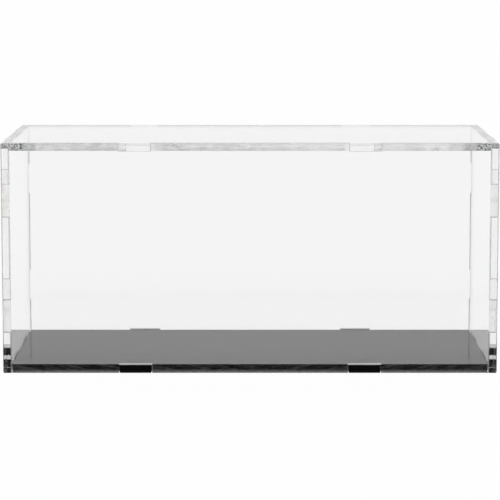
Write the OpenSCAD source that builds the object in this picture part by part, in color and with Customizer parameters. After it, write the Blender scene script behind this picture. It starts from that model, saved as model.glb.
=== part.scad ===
// Display box of six flat acrylic sheets that lock together with tabs and notches.
// Five clear sheets make the cover, which lifts straight up off the black base sheet.
// The front faces -Y, the width runs along X, and the box stands on z = 0.

/* [Box] */
// Width across the front, outside
box_w = 187.5; // [130:0.5:320]
// Depth from front to back, outside
box_d = 87.5; // [70:0.5:220]
// Height from the shelf to the top face
box_h = 87.5; // [72:0.5:220]

/* [Sheets] */
// Thickness of the five clear sheets
clear_t = 3; // [2:0.5:5]
// Thickness of the black base sheet
base_t = 3; // [2:0.5:5]

/* [Finger joints] */
// Length of the tabs that run along the width
width_tab = 12; // [6:0.5:24]
// Distance between the centres of the two tabs along the width
width_pitch = 87; // [40:0.5:150]
// Length of the tabs that run along the depth
depth_tab = 12; // [6:0.5:18]
// Distance between the centres of the two tabs along the depth
depth_pitch = 39.5; // [25:0.5:60]
// Length of the tabs that run along the height
height_tab = 12.5; // [6:0.5:18]
// Distance between the centres of the two tabs along the height
height_pitch = 44; // [25:0.5:60]

/* [Fits] */
// Gap that the cement fills wherever two clear sheets meet
glue_gap = 0.05; // [0.02:0.01:0.2]
// Gap all round the base that lets the cover lift off
lift_gap = 0.25; // [0.1:0.05:0.5]

/* [Hidden] */
clear_tint = [0.93, 0.95, 0.95, 0.3];
base_black = [0.02, 0.02, 0.022];
// Width and depth between the inner faces of the walls
inner_w = box_w - 2 * clear_t;
inner_d = box_d - 2 * clear_t;
// How far a notch's cutting shape runs out past the edge of its sheet
cut_past = 1;

// Two copies, half a pitch to either side of the middle
module pair(pitch) {
    for (side = [-1, 1])
        translate([side * pitch / 2, 0]) children();
}

// Cutting shape for one notch in an edge that lies along y = 0, with the sheet above it
module notch(tab, depth, gap) {
    translate([-tab / 2 - gap, -cut_past])
        square([tab + 2 * gap, depth + gap + cut_past]);
}

// Notches of a wall for the tabs of the base, in its lower edge, and of the top, in its upper edge
module floor_notches(tab, pitch) {
    pair(pitch) notch(tab, base_t, lift_gap);
    translate([0, box_h]) mirror([0, 1]) pair(pitch) notch(tab, clear_t, glue_gap);
}

// Outline of the base and the top, clear of the walls by gap: a bar right across ends in a tab at each side
module floor_outline(gap) {
    square([inner_w - 2 * gap, inner_d - 2 * gap], center = true);
    pair(width_pitch) square([width_tab, box_d], center = true);
    rotate(90) pair(depth_pitch) square([depth_tab, box_w], center = true);
}

// Outline of the front and the back, standing on y = 0: tabs at both ends, notches above and below
module wide_wall_outline() {
    difference() {
        translate([glue_gap - inner_w / 2, 0]) square([inner_w - 2 * glue_gap, box_h]);
        floor_notches(width_tab, width_pitch);
    }
    translate([0, box_h / 2]) rotate(90) pair(height_pitch) square([height_tab, box_w], center = true);
}

// Outline of the left and right ends, standing on y = 0: notches in all four edges
module end_wall_outline() {
    difference() {
        translate([-box_d / 2, 0]) square([box_d, box_h]);
        floor_notches(depth_tab, depth_pitch);
        for (facing = [0, 1])
            mirror([facing, 0]) translate([-box_d / 2, box_h / 2]) rotate(-90)
                pair(height_pitch) notch(height_tab, clear_t, glue_gap);
    }
}

// A front or back sheet, square to Y, with its rear face at back_y
module wide_wall(back_y) {
    color(clear_tint) translate([0, back_y, 0]) rotate([90, 0, 0])
        linear_extrude(clear_t) wide_wall_outline();
}

// A left or right sheet, square to X, with its left face at left_x
module end_wall(left_x) {
    color(clear_tint) translate([left_x, 0, 0]) rotate([90, 0, 90])
        linear_extrude(clear_t) end_wall_outline();
}

// Black sheet that the shown object stands on
module base_panel() {
    color(base_black) linear_extrude(base_t) floor_outline(lift_gap);
}

module front_panel() {
    wide_wall(clear_t - box_d / 2);
}

module back_panel() {
    wide_wall(box_d / 2);
}

module left_panel() {
    end_wall(-box_w / 2);
}

module right_panel() {
    end_wall(box_w / 2 - clear_t);
}

// Clear sheet that closes the box, flush with the upper edges of the walls
module top_panel() {
    color(clear_tint) translate([0, 0, box_h - clear_t])
        linear_extrude(clear_t) floor_outline(glue_gap);
}

base_panel();
front_panel();
back_panel();
left_panel();
right_panel();
top_panel();
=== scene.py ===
import math

import bpy
import numpy as np
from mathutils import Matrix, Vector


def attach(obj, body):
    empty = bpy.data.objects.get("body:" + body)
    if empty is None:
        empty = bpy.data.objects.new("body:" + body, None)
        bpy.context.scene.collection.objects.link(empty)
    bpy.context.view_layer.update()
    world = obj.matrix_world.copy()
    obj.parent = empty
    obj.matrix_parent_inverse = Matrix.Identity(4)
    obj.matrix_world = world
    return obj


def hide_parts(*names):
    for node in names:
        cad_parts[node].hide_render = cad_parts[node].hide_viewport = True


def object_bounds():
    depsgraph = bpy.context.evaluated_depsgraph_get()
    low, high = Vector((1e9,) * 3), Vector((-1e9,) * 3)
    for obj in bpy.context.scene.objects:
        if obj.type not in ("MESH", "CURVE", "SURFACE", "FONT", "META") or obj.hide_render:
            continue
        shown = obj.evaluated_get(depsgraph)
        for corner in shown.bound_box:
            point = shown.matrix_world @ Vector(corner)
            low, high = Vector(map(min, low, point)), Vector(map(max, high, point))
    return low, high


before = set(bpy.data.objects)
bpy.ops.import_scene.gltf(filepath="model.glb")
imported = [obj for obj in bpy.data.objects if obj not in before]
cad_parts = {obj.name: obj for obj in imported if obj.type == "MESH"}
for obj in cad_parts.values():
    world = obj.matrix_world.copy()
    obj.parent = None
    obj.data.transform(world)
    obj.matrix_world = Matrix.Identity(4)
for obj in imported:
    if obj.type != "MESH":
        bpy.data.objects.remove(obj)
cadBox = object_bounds()
print("frame loaded:", ", ".join(sorted(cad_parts)))


# node helpers

def addNode(tree, kind, **settings):
    node = tree.nodes.new(kind)
    for name, value in settings.items():
        setattr(node, name, value)
    return node


def setInputs(node, values):
    for name, value in values.items():
        node.inputs[name].default_value = value


def feedInput(tree, socket, value):
    # another node's socket is linked, and a plain value is written
    if isinstance(value, bpy.types.NodeSocket):
        tree.links.new(value, socket)
    else:
        socket.default_value = value


def mathNode(tree, operation, first, second, clamp=False):
    node = addNode(tree, "ShaderNodeMath", operation=operation, use_clamp=clamp)
    feedInput(tree, node.inputs[0], first)
    feedInput(tree, node.inputs[1], second)
    return node.outputs[0]


def noiseOn(tree, vector, cell, detail, roughness=0.5, turn=0.0):
    # noise on cells of these lengths in metres, laid along a direction turned from the coordinates
    mapping = addNode(tree, "ShaderNodeMapping", vector_type="TEXTURE")
    setInputs(mapping, {"Rotation": (0.0, 0.0, turn), "Scale": cell})
    noise = addNode(tree, "ShaderNodeTexNoise")
    setInputs(noise, {"Scale": 1.0, "Detail": detail, "Roughness": roughness})
    tree.links.new(vector, mapping.inputs["Vector"])
    tree.links.new(mapping.outputs["Vector"], noise.inputs["Vector"])
    return noise.outputs["Fac"]


def stretchValue(tree, value, fromLow, fromHigh, toLow, toHigh):
    # a straight line from one range to the other, held at its ends
    node = addNode(tree, "ShaderNodeMapRange", clamp=True)
    tree.links.new(value, node.inputs["Value"])
    limits = {"From Min": fromLow, "From Max": fromHigh, "To Min": toLow, "To Max": toHigh}
    for name, limit in limits.items():
        feedInput(tree, node.inputs[name], limit)
    return node.outputs["Result"]


def mixColor(tree, factor, first, second):
    # sockets 0, 6, 7 and 2 are the factor, both colours and the mixed colour
    node = addNode(tree, "ShaderNodeMix", data_type="RGBA")
    for number, value in ((0, factor), (6, first), (7, second)):
        feedInput(tree, node.inputs[number], value)
    return node.outputs[2]


def newGroup(name, inputs, outputs):
    group = bpy.data.node_groups.new(name, "ShaderNodeTree")
    for label, value in inputs.items():
        kind = "NodeSocketVector" if value is None else "NodeSocketFloat"
        socket = group.interface.new_socket(name=label, in_out="INPUT", socket_type=kind)
        if value is not None:
            socket.default_value = value
    for label in outputs:
        group.interface.new_socket(name=label, in_out="OUTPUT", socket_type="NodeSocketFloat")
    return group, group.nodes.new("NodeGroupInput"), group.nodes.new("NodeGroupOutput")


# handling marks of a polished face
# each pattern has its cell in metres, and the range of its noise that is stretched out

polishMarks = {
    "smear": (0.045, 0.045, 1.0), "smearRange": (0.35, 0.7), "smearDetail": 3.0,
    "hair": (0.04, 0.0004, 1.0), "hairRange": (0.72, 0.8), "hairDetail": 1.0, "turns": (0.5, 2.2),
}


def polishGroup():
    # roughness is a broad soft smear between low and high, plus hairlines in two directions
    group, given, made = newGroup(
        "polishMarks", {"Vector": None, "Low": 0.0, "High": 0.02, "Hairline": 0.01}, ["Roughness"]
    )
    vector, low, high, hairline = given.outputs[:4]
    smear = noiseOn(group, vector, polishMarks["smear"], polishMarks["smearDetail"])
    rough = stretchValue(group, smear, *polishMarks["smearRange"], low, high)
    for turn in polishMarks["turns"]:
        line = noiseOn(group, vector, polishMarks["hair"], polishMarks["hairDetail"], turn=turn)
        line = stretchValue(group, line, *polishMarks["hairRange"], 0.0, hairline)
        rough = mathNode(group, "ADD", rough, line)
    group.links.new(rough, made.inputs["Roughness"])
    return group


# marks of a cut edge and of the cement on it
# cells run along the edge and across the sheet, in metres; sideSpan is the step in the edge map between
# two sides, sheet the thickness, corner how far bubbles reach from a corner, and the strip's first key how
# high that paler strip is, a painted reflection low down on the black edge

cutMarks = {
    "ridge": (0.0004, 0.017, 1.0), "wave": (0.0024, 0.006, 1.0), "waveRange": (0.3, 0.7), "ridgeDetail": 2.0,
    "patch": (0.005, 0.0013, 1.0), "patchRange": (0.38, 0.66), "roughRange": (0.4, 0.68),
    "patchDetail": 3.0, "patchGrain": 0.6,
    "drift": (0.16, 0.03, 1.0), "driftRange": (0.3, 0.7), "driftDetail": 0.0, "shade": 0.5,
    "void": (0.007, 0.0009, 1.0), "voidRange": (0.46, 0.56), "voidDetail": 1.0,
    "bubble": (0.0008, 0.0007, 1.0), "bubbleRange": (0.5, 0.55), "bubbleDetail": 1.5,
    "corner": 0.0055, "cornerFade": 0.0006,
    "streak": (0.014, 0.0012, 1.0), "streakRange": (0.48, 0.7), "streakDetail": 1.0, "streakMost": 0.4,
    "slant": 0.25, "paintedReflection": 0.0008, "paintedReflectionFade": 0.00012, "paintedReflectionLeast": 0.5,
    "sheet": 0.003, "sideSpan": 10.0,
}


def cutGroup():
    group, given, made = newGroup(
        "cutRidges",
        {"Vector": None, "Low": 0.05, "High": 0.25, "Dull": 0.0},
        ["Height", "Roughness", "Patch", "Void", "StreaksAndPaintedReflection", "Bubble"],
    )
    vector, low, high, dull = given.outputs[:4]
    split = addNode(group, "ShaderNodeSeparateXYZ")
    group.links.new(vector, split.inputs["Vector"])
    across = split.outputs["Y"]

    # height: fine ridges square to the sheet, on broader waves
    ridge = noiseOn(group, vector, cutMarks["ridge"], cutMarks["ridgeDetail"])
    wave = noiseOn(group, vector, cutMarks["wave"], cutMarks["ridgeDetail"])
    group.links.new(mathNode(group, "ADD", ridge, wave), made.inputs["Height"])

    # patch: where the cut ran hotter; dull adds more of them low down, where the beam left, and a slow drift
    patch = noiseOn(group, vector, cutMarks["patch"], cutMarks["patchDetail"], cutMarks["patchGrain"])
    rough = stretchValue(group, patch, *cutMarks["roughRange"], low, high)
    group.links.new(rough, made.inputs["Roughness"])
    shade = cutMarks["shade"]
    below = stretchValue(group, across, 0.0, cutMarks["sheet"], shade, -shade)
    below = mathNode(group, "MULTIPLY", below, dull)
    drift = noiseOn(group, vector, cutMarks["drift"], cutMarks["driftDetail"])
    drift = stretchValue(group, drift, *cutMarks["driftRange"], -shade, shade)
    drift = mathNode(group, "MULTIPLY", drift, dull)
    patch = mathNode(group, "ADD", stretchValue(group, patch, *cutMarks["patchRange"], 0.0, 1.0), drift)
    group.links.new(mathNode(group, "ADD", patch, below, clamp=True), made.inputs["Patch"])

    # void: long empty places in the cement
    void = noiseOn(group, vector, cutMarks["void"], cutMarks["voidDetail"])
    group.links.new(stretchValue(group, void, *cutMarks["voidRange"], 0.0, 1.0), made.inputs["Void"])

    # bubble: small bubbles near the corners; half a long side's arc is half the box and one sheet
    middle = mathNode(group, "PINGPONG", split.outputs["X"], cutMarks["sideSpan"] / 2)
    bubbleStart = cadBox[1][0] + cutMarks["sheet"] - cutMarks["corner"]
    bubble = noiseOn(group, vector, cutMarks["bubble"], cutMarks["bubbleDetail"])
    bubble = stretchValue(group, bubble, *cutMarks["bubbleRange"], 0.0, 1.0)
    nearCorner = stretchValue(group, middle, bubbleStart, bubbleStart + cutMarks["cornerFade"], 0.0, 1.0)
    group.links.new(mathNode(group, "MULTIPLY", bubble, nearCorner), made.inputs["Bubble"])

    # streak: slanted streaks that mirror about the middle of a side, over a paler strip low down that is a
    # painted reflection
    mirrored = addNode(group, "ShaderNodeCombineXYZ")
    group.links.new(middle, mirrored.inputs["X"])
    group.links.new(across, mirrored.inputs["Y"])
    streak = noiseOn(
        group, mirrored.outputs["Vector"], cutMarks["streak"], cutMarks["streakDetail"],
        turn=cutMarks["slant"],
    )
    streak = stretchValue(group, streak, *cutMarks["streakRange"], 0.0, cutMarks["streakMost"])
    paintedReflectionTop = cutMarks["paintedReflection"] + cutMarks["paintedReflectionFade"]
    paintedReflection = stretchValue(group, across, cutMarks["paintedReflection"], paintedReflectionTop, 1.0, 0.0)
    uneven = stretchValue(group, wave, *cutMarks["waveRange"], cutMarks["paintedReflectionLeast"], 1.0)
    paintedReflection = mathNode(group, "MULTIPLY", paintedReflection, uneven)
    group.links.new(mathNode(group, "MAXIMUM", streak, paintedReflection), made.inputs["StreaksAndPaintedReflection"])
    return group


polishNodes = polishGroup()
cutNodes = cutGroup()


# acrylic finishes
# a mask leads from the plain colour to the marked one, low and high bound the roughness, dull is how much
# the lower side and the drift add to the patches, and ridge is the height of the ridges in metres;
# transmission and specular level are given where they differ from the acrylic's own

acrylic = {"ior": 1.49, "specular": 0.5, "clear": 1.0, "black": 0.0}

# polished face
clearFace = {"color": (0.99, 0.991, 0.991, 1.0), "low": 0.0, "high": 0.012, "hairline": 0.012}
# bare cut edge
clearCut = {
    "plain": (0.93, 0.933, 0.933, 1.0), "marked": (0.86, 0.865, 0.865, 1.0), "mask": "Patch",
    "low": 0.0, "high": 0.02, "dull": 0.0, "ridge": 0.000001,
}
# cemented edge
clearJoint = {
    "plain": (0.97, 0.973, 0.973, 1.0), "marked": (0.58, 0.585, 0.585, 1.0), "mask": "Patch",
    "low": 0.12, "high": 0.35, "dull": 1.0, "ridge": 0.000005,
}
# end joint of the back sheet, with more cement and voids in it
clearEnd = {
    "plain": (0.9, 0.903, 0.903, 1.0), "marked": (0.35, 0.353, 0.353, 1.0), "mask": "Void",
    "low": 0.3, "high": 0.5, "dull": 0.0, "ridge": 0.00001, "transmission": 0.25, "specular": 0.0,
}
# corner broken by the cut on the outside, tinted dark grey as painted shade that draws a dark outline along
# the edges
clearRim = {
    "plain": (0.33, 0.335, 0.335, 1.0), "marked": (0.15, 0.153, 0.153, 1.0), "mask": "Patch",
    "low": 0.15, "high": 0.4, "dull": 0.0, "ridge": 0.000005,
}
# corner broken inside a joint
clearSeam = {
    "plain": (0.75, 0.755, 0.755, 1.0), "marked": (0.5, 0.505, 0.505, 1.0), "mask": "Patch",
    "low": 0.1, "high": 0.3, "dull": 0.0, "ridge": 0.000005,
}
# hazy joint at an end
clearFine = {
    "plain": (0.985, 0.987, 0.987, 1.0), "marked": (0.87, 0.875, 0.875, 1.0), "mask": "Patch",
    "low": 0.12, "high": 0.3, "dull": 0.0, "ridge": 0.000003,
}
# upper edge of an end sheet
clearUpper = {
    "plain": (0.995, 0.996, 0.996, 1.0), "marked": (0.96, 0.963, 0.963, 1.0), "mask": "Patch",
    "low": 0.01, "high": 0.06, "dull": 0.0, "ridge": 0.000003,
}
# front joint of the top, clear but for bubbles near its corners
clearFront = {
    "plain": (0.985, 0.987, 0.987, 1.0), "marked": (0.76, 0.765, 0.765, 1.0), "mask": "Patch",
    "low": 0.12, "high": 0.3, "dull": 1.0, "ridge": 0.000003, "bubble": (0.03, 0.031, 0.031, 1.0),
}
# back joint of the top, which darkens the bar seen through the sheet from the front
clearBack = {
    "plain": (0.87, 0.873, 0.873, 1.0), "marked": (0.3, 0.303, 0.303, 1.0), "mask": "Patch",
    "low": 0.12, "high": 0.35, "dull": 1.0, "ridge": 0.000005, "bubble": (0.03, 0.031, 0.031, 1.0),
}
# black polished face
blackFace = {"color": (0.0035, 0.0035, 0.0037, 1.0), "low": 0.012, "high": 0.03, "hairline": 0.03}
# black cut edge
blackCut = {
    "plain": (0.003, 0.003, 0.003, 1.0), "marked": (0.0015, 0.0015, 0.0015, 1.0), "mask": "Patch",
    "low": 0.05, "high": 0.15, "dull": 0.0, "ridge": 0.000005,
}
# black edge behind the front and back sheets, with streaks over a paler strip low down that is a painted
# reflection
blackJoint = {
    "plain": (0.002, 0.002, 0.002, 1.0), "marked": (0.16, 0.16, 0.16, 1.0), "mask": "StreaksAndPaintedReflection",
    "low": 0.2, "high": 0.4, "dull": 0.0, "ridge": 0.00002,
}
# black edge beside the end sheets and flanks of the base's tabs, matt
blackEnd = {
    "plain": (0.003, 0.003, 0.003, 1.0), "marked": (0.012, 0.012, 0.012, 1.0), "mask": "Patch",
    "low": 0.6, "high": 0.8, "dull": 0.0, "ridge": 0.00002, "specular": 0.0,
}


def acrylicShader(name, look, transmission):
    material = bpy.data.materials.new(name)
    material.use_nodes = True
    tree = material.node_tree
    shader = tree.nodes["Principled BSDF"]
    setInputs(shader, {
        "IOR": acrylic["ior"],
        "Metallic": 0.0,
        "Transmission Weight": look.get("transmission", transmission),
        "Specular IOR Level": look.get("specular", acrylic["specular"]),
    })
    return material, tree, shader, addNode(tree, "ShaderNodeUVMap", uv_map="sheetMap").outputs["UV"]


def faceMaterial(name, look, transmission):
    material, tree, shader, uv = acrylicShader(name, look, transmission)
    shader.inputs["Base Color"].default_value = look["color"]
    marks = addNode(tree, "ShaderNodeGroup", node_tree=polishNodes)
    setInputs(marks, {"Low": look["low"], "High": look["high"], "Hairline": look["hairline"]})
    tree.links.new(uv, marks.inputs["Vector"])
    tree.links.new(marks.outputs["Roughness"], shader.inputs["Roughness"])
    return material


def edgeMaterial(name, look, transmission):
    material, tree, shader, uv = acrylicShader(name, look, transmission)
    marks = addNode(tree, "ShaderNodeGroup", node_tree=cutNodes)
    setInputs(marks, {"Low": look["low"], "High": look["high"], "Dull": look["dull"]})
    bump = addNode(tree, "ShaderNodeBump")
    setInputs(bump, {"Strength": 1.0, "Distance": look["ridge"]})
    color = mixColor(tree, marks.outputs[look["mask"]], look["plain"], look["marked"])
    if "bubble" in look:
        color = mixColor(tree, marks.outputs["Bubble"], color, look["bubble"])
    tree.links.new(uv, marks.inputs["Vector"])
    tree.links.new(color, shader.inputs["Base Color"])
    tree.links.new(marks.outputs["Roughness"], shader.inputs["Roughness"])
    tree.links.new(marks.outputs["Height"], bump.inputs["Height"])
    tree.links.new(bump.outputs["Normal"], shader.inputs["Normal"])
    return material


# finishes by number, in the order of the material lists; the base needs only the first six

faceFinish, cutFinish, jointFinish, endFinish, rimFinish, seamFinish = range(6)
fineFinish, upperFinish, frontFinish, backFinish = range(6, 10)

clearEdges = {
    "clearCut": clearCut, "clearJoint": clearJoint, "clearEnd": clearEnd, "clearRim": clearRim,
    "clearSeam": clearSeam, "clearFine": clearFine, "clearUpper": clearUpper, "clearFront": clearFront,
    "clearBack": clearBack,
}
clearMaterials = [faceMaterial("clearFace", clearFace, acrylic["clear"])]
clearMaterials += [edgeMaterial(name, look, acrylic["clear"]) for name, look in clearEdges.items()]
blackEdges = {"blackCut": blackCut, "blackJoint": blackJoint, "blackEnd": blackEnd}
blackMaterials = [faceMaterial("blackFace", blackFace, acrylic["black"])]
blackMaterials += [edgeMaterial(name, look, acrylic["black"]) for name, look in blackEdges.items()]
blackMaterials += [blackMaterials[cutFinish]] * 2  # its rim and seam are cut edges too
print("materials made: clear and black acrylic, each with faces, cut edges, joints and corners")


# sheets: an outline with tabs or notches, and a chamfered edge profile carried round it

sideBand = 0.005  # all of one side's tabs and notches lie this near its outermost line
jointCorner = 0.00008  # corner that the cut leaves inside a joint
sideFacings = np.array([(0, -1), (1, 0), (0, 1), (-1, 0)])


def readSide(spots, facing):
    # a side's steps from its middle to the ends of a tab and to the corner, and how far out edge and tip lie
    level = spots @ facing
    near = spots[level > level.max() - sideBand]
    out = near @ facing
    along = np.abs(near @ facing[::-1])
    inner, outer, corner = np.unique(np.round(along, 6))
    edge = out[along > corner - sideBand].max()
    tip = out[np.argmax(np.abs(out - edge))]
    return inner, outer, corner, edge, tip


def sheetOutline(spots, sheet):
    # four sides anticlockwise from below, each stepping from its edge to its tips and back, twice; with them
    # the finish of each stretch: a cut edge on the outermost line and on a loose lower side, else a joint
    sides, finish = [], []
    flank = sheet["flank"]
    for joint, facing in zip(sheet["joints"], sideFacings):
        inner, outer, corner, edge, tip = readSide(spots, facing)
        run = np.array([-corner, -outer, -outer, -inner, -inner, inner, inner, outer, outer])
        out = np.array([edge, edge, tip, tip, edge, edge, tip, tip, edge])
        forward = np.array([-facing[1], facing[0]])
        sides.append(run[:, None] * forward + out[:, None] * facing)
        atEdge, atTip = (cutFinish, joint) if edge > tip else (joint, cutFinish)
        finish.append([atEdge, flank, atTip, flank, atEdge, flank, atTip, flank, atEdge])
    finish = np.array(finish)
    if sheet["loose"]:
        finish[0] = cutFinish
    bare = finish == cutFinish
    finish[2, bare[2]] = sheet["upper"]
    return np.concatenate(sides), finish.ravel(), bare.ravel()


def edgeRings(outline, bare, thickness, breaks):
    # ring k is the outline drawn in along its mitres, at height level[k]; bare stretches have the corners
    # that breaks gives, below and above, and stretches inside a joint have the joint's corner
    step = np.roll(outline, -1, 0) - outline
    length = np.linalg.norm(step, axis=1)
    outward = np.stack([step[:, 1], -step[:, 0]], 1) / length[:, None]
    bareInset = np.array([breaks[0], 0.0, 0.0, breaks[1]])
    jointInset = np.array([jointCorner, 0.0, 0.0, jointCorner])
    inset = np.where(bare, bareInset[:, None], jointInset[:, None])
    level = np.array([0.0, breaks[0], thickness - breaks[1], thickness])
    drawnIn = inset[:, :, None] * outward[None]
    rings = outline[None] - drawnIn - np.roll(drawnIn, 1, 1)
    return rings, level, length


def edgeMap(rings, level, length, mapStart):
    # edges: arc length from the middle of each side, the sides a whole span apart, and height across the
    # thickness; the two faces keep their own plane
    runs = length.reshape(4, -1)
    start = np.cumsum(runs, 1) - runs - runs.sum(1, keepdims=True) / 2
    start = (start + mapStart + cutMarks["sideSpan"] * np.arange(4)[:, None]).ravel()
    along = np.stack([start, start + length, start + length, start], 1)
    up = np.stack([level[:-1], level[:-1], level[1:], level[1:]], 1)
    edges = np.stack(np.broadcast_arrays(along[None], up[:, None]), 3)
    plane = np.concatenate([rings[0][::-1], rings[3]]) + (mapStart, 0.0)
    return np.concatenate([edges.reshape(-1, 2), plane])


def sheetPiece(name, sheet, outline, finish, bare, thickness, origin, breaks, mapStart):
    # quads join each ring to the next, and two faces close the first and the last
    rings, level, length = edgeRings(outline, bare, thickness, breaks)
    count = len(outline)
    heights = np.broadcast_to(level[:, None, None], (4, count, 1))
    local = np.concatenate([rings, heights], 2).reshape(-1, 3)
    first = np.arange(count)
    after = np.roll(first, -1)
    rows = np.arange(3)[:, None] * count
    quads = np.stack([rows + first, rows + after, rows + count + after, rows + count + first], 2)
    faces = quads.reshape(-1, 4).tolist() + [first[::-1].tolist(), (first + 3 * count).tolist()]
    mesh = bpy.data.meshes.new(name)
    mesh.from_pydata((origin + local @ sheet["axes"]).tolist(), [], faces)
    uvs = edgeMap(rings, level, length, mapStart)
    mesh.uv_layers.new(name="sheetMap").data.foreach_set("uv", uvs.ravel())
    for material in sheet["materials"]:
        mesh.materials.append(material)
    corners = np.where(bare, np.where(finish == cutFinish, sheet["rim"], finish), seamFinish)
    slots = np.concatenate([corners, finish, corners, [faceFinish, faceFinish]]).astype(np.int32)
    mesh.polygons.foreach_set("material_index", slots)
    mesh.update()
    piece = bpy.data.objects.new(name, mesh)
    bpy.context.collection.objects.link(piece)
    return piece


# which way each sheet lies: its own u, v and thickness directions in the frame

layFlat = np.array([[1, 0, 0], [0, 1, 0], [0, 0, 1]])
standWide = np.array([[1, 0, 0], [0, 0, 1], [0, -1, 0]])
standEnd = np.array([[0, 1, 0], [0, 0, 1], [1, 0, 0]])

# the six sheets
# corner is the width broken outside, and loose means that the lower side isn't cemented; rim, flank and
# upper are the finishes of the outer corner, of the tabs' flanks and of the upper edge, and joints those of
# the four sides, anticlockwise from below

sheets = {
    "baseSheet": {
        "node": "base_panel", "body": "base", "slot": "black_acrylic", "materials": blackMaterials,
        "axes": layFlat, "corner": 0.0001, "loose": False,
        "rim": rimFinish, "flank": endFinish, "upper": cutFinish,
        "joints": (jointFinish, endFinish, jointFinish, endFinish),
    },
    "frontSheet": {
        "node": "front_panel", "body": "cover", "slot": "clear_acrylic", "materials": clearMaterials,
        "axes": standWide, "corner": 0.0001, "loose": True,
        "rim": cutFinish, "flank": jointFinish, "upper": cutFinish,
        "joints": (jointFinish, jointFinish, jointFinish, jointFinish),
    },
    "backSheet": {
        "node": "back_panel", "body": "cover", "slot": "clear_acrylic", "materials": clearMaterials,
        "axes": standWide, "corner": 0.0001, "loose": True,
        "rim": cutFinish, "flank": jointFinish, "upper": cutFinish,
        "joints": (jointFinish, endFinish, jointFinish, endFinish),
    },
    "leftSheet": {
        "node": "left_panel", "body": "cover", "slot": "clear_acrylic", "materials": clearMaterials,
        "axes": standEnd, "corner": 0.00035, "loose": True,
        "rim": rimFinish, "flank": jointFinish, "upper": upperFinish,
        "joints": (jointFinish, fineFinish, jointFinish, fineFinish),
    },
    "rightSheet": {
        "node": "right_panel", "body": "cover", "slot": "clear_acrylic", "materials": clearMaterials,
        "axes": standEnd, "corner": 0.00035, "loose": True,
        "rim": rimFinish, "flank": jointFinish, "upper": upperFinish,
        "joints": (jointFinish, fineFinish, jointFinish, fineFinish),
    },
    "topSheet": {
        "node": "top_panel", "body": "cover", "slot": "clear_acrylic", "materials": clearMaterials,
        "axes": layFlat, "corner": 0.00003, "loose": False,
        "rim": cutFinish, "flank": jointFinish, "upper": cutFinish,
        "joints": (frontFinish, fineFinish, backFinish, fineFinish),
    },
}
bodyMiddle = (np.array(cadBox[0]) + np.array(cadBox[1])) / 2


def makeSheet(number, name, sheet):
    # the node's corners, seen along its thickness about its middle, give the outline
    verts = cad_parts[sheet["node"]].data.vertices
    places = np.empty(len(verts) * 3)
    verts.foreach_get("co", places)
    places = places.reshape(-1, 3)
    middle = (places.min(0) + places.max(0)) / 2
    local = (places - middle) @ sheet["axes"].T
    outline, finish, bare = sheetOutline(local[:, :2], sheet)
    thickness = 2 * local[:, 2].max()
    origin = middle - sheet["axes"][2] * thickness / 2
    # the corner on the outside of the box is the one that differs from sheet to sheet
    outerAbove = sheet["axes"][2] @ (middle - bodyMiddle) > 0
    breaks = (jointCorner, sheet["corner"]) if outerAbove else (sheet["corner"], jointCorner)
    mapStart = 4 * cutMarks["sideSpan"] * number
    piece = sheetPiece(name, sheet, outline, finish, bare, thickness, origin, breaks, mapStart)
    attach(piece, sheet["body"])
    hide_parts(sheet["node"])
    return piece


pieces = [makeSheet(number, name, sheet) for number, (name, sheet) in enumerate(sheets.items())]
print("sheets made:", ", ".join(piece.name for piece in pieces))


# floor: pale paint, read as white where the camera looks at it or through the glass
# reflections show a dark strip just in front of the box, a painted contact shadow, a dim floor further out,
# and white behind, given as stops of distance along Y and level

floorLook = {
    "size": 12.0, "cells": 8, "below": 0.00005, "paint": (0.95, 0.95, 0.95, 1.0), "white": 0.975,
    "reflected": ((-0.4, 0.5), (-0.1, 0.4), (-0.07, 0.05), (-0.046, 0.05), (-0.0442, 1.0)),
}


def levelRamp(tree, value, stops):
    # straight lines between (place, level) stops
    first, last = stops[0][0], stops[-1][0]
    ramp = addNode(tree, "ShaderNodeValToRGB")
    elements = ramp.color_ramp.elements
    while len(elements) < len(stops):
        elements.new(1.0)
    for element, (place, level) in zip(elements, stops):
        element.position = (place - first) / (last - first)
        element.color = (level, level, level, 1.0)
    tree.links.new(stretchValue(tree, value, first, last, 0.0, 1.0), ramp.inputs["Fac"])
    return ramp.outputs["Color"]


def floorMaterial():
    # paint for the light, and a plain white glow for what is seen, dimmed where it is seen in a reflection
    # and darkest in a painted shadow just in front of the box
    material = bpy.data.materials.new("floorPaint")
    material.use_nodes = True
    tree = material.node_tree
    tree.nodes.clear()
    path = addNode(tree, "ShaderNodeLightPath").outputs
    seen = mathNode(tree, "MAXIMUM", path["Is Camera Ray"], path["Is Transmission Ray"])
    seen = mathNode(tree, "MAXIMUM", seen, path["Is Glossy Ray"])
    split = addNode(tree, "ShaderNodeSeparateXYZ")
    tree.links.new(addNode(tree, "ShaderNodeTexCoord").outputs["Object"], split.inputs["Vector"])
    level = levelRamp(tree, split.outputs["Y"], floorLook["reflected"])
    mirrored = mathNode(tree, "GREATER_THAN", path["Glossy Depth"], 0.5)
    dimmer = mathNode(tree, "MULTIPLY", mirrored, mathNode(tree, "SUBTRACT", 1.0, level))
    glow = addNode(tree, "ShaderNodeEmission")
    tree.links.new(mathNode(tree, "SUBTRACT", 1.0, dimmer), glow.inputs["Strength"])
    paint = addNode(tree, "ShaderNodeBsdfDiffuse")
    paint.inputs["Color"].default_value = floorLook["paint"]
    mix = addNode(tree, "ShaderNodeMixShader")
    tree.links.new(mathNode(tree, "MULTIPLY", seen, floorLook["white"]), mix.inputs["Fac"])
    tree.links.new(paint.outputs["BSDF"], mix.inputs[1])
    tree.links.new(glow.outputs["Emission"], mix.inputs[2])
    tree.links.new(mix.outputs["Shader"], addNode(tree, "ShaderNodeOutputMaterial").inputs["Surface"])
    return material


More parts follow.
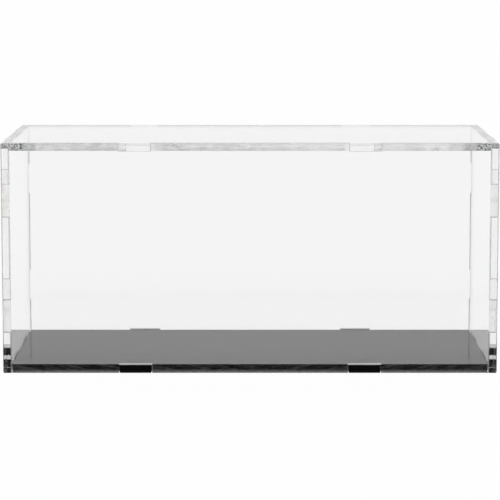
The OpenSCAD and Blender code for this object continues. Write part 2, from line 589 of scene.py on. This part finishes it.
def makeFloor():
    # a flat square grid, just below what the box stands on
    half, cells = floorLook["size"] / 2, floorLook["cells"]
    spots = np.linspace(-half, half, cells + 1)
    gridX, gridY = np.meshgrid(spots, spots)
    verts = np.stack([gridX.ravel(), gridY.ravel(), np.full(gridX.size, -floorLook["below"])], 1)
    corner = (np.arange(cells)[:, None] * (cells + 1) + np.arange(cells)).ravel()
    quads = np.stack([corner, corner + 1, corner + cells + 2, corner + cells + 1], 1)
    mesh = bpy.data.meshes.new("floor")
    mesh.from_pydata(verts.tolist(), [], quads.tolist())
    mesh.materials.append(floorMaterial())
    floor = bpy.data.objects.new("floor", mesh)
    bpy.context.collection.objects.link(floor)


makeFloor()


# studio: a surround, white low down and greyer higher up, as stops of the height angle's sine and level

studio = {
    "heights": (
        (0.0, 1.0), (0.05, 1.0), (0.084, 0.885), (0.16, 0.57), (0.169, 0.58), (0.174, 0.63), (0.18, 0.68),
        (0.35, 0.5), (1.0, 0.75),
    ),
}


def makeStudio():
    world = bpy.data.worlds.new("surround")
    world.use_nodes = True
    bpy.context.scene.world = world
    tree = world.node_tree
    split = addNode(tree, "ShaderNodeSeparateXYZ")
    tree.links.new(addNode(tree, "ShaderNodeTexCoord").outputs["Generated"], split.inputs["Vector"])
    level = levelRamp(tree, split.outputs["Z"], studio["heights"])
    seen = addNode(tree, "ShaderNodeLightPath").outputs["Is Camera Ray"]
    tree.links.new(mathNode(tree, "MAXIMUM", level, seen), tree.nodes["Background"].inputs["Strength"])
    tree.nodes["Background"].inputs["Color"].default_value = (1.0, 1.0, 1.0, 1.0)


makeStudio()


# camera: level from side to side, tilted down on to the front, with a long lens

cameraLook = {
    "distance": 0.9141, "height": 0.16678, "tilt": 7.4576, "lens": 175.84, "sensor": 36.0,
    "clip": (0.01, 100.0),
}


def makeCamera():
    data = bpy.data.cameras.new("camera")
    data.sensor_width = cameraLook["sensor"]
    data.lens = cameraLook["lens"]
    data.clip_start, data.clip_end = cameraLook["clip"]
    camera = bpy.data.objects.new("camera", data)
    camera.location = (0.0, cadBox[0][1] - cameraLook["distance"], cameraLook["height"])
    camera.rotation_euler = (math.radians(90.0 - cameraLook["tilt"]), 0.0, 0.0)
    bpy.context.collection.objects.link(camera)
    bpy.context.scene.camera = camera


makeCamera()
print("floor, studio and camera made")

# light crosses many faces and bounces far along inside a sheet before it leaves
bounces = 48
scene = bpy.context.scene
scene.view_settings.view_transform = "Standard"
scene.cycles.max_bounces = bounces
scene.cycles.transmission_bounces = bounces
scene.cycles.glossy_bounces = bounces
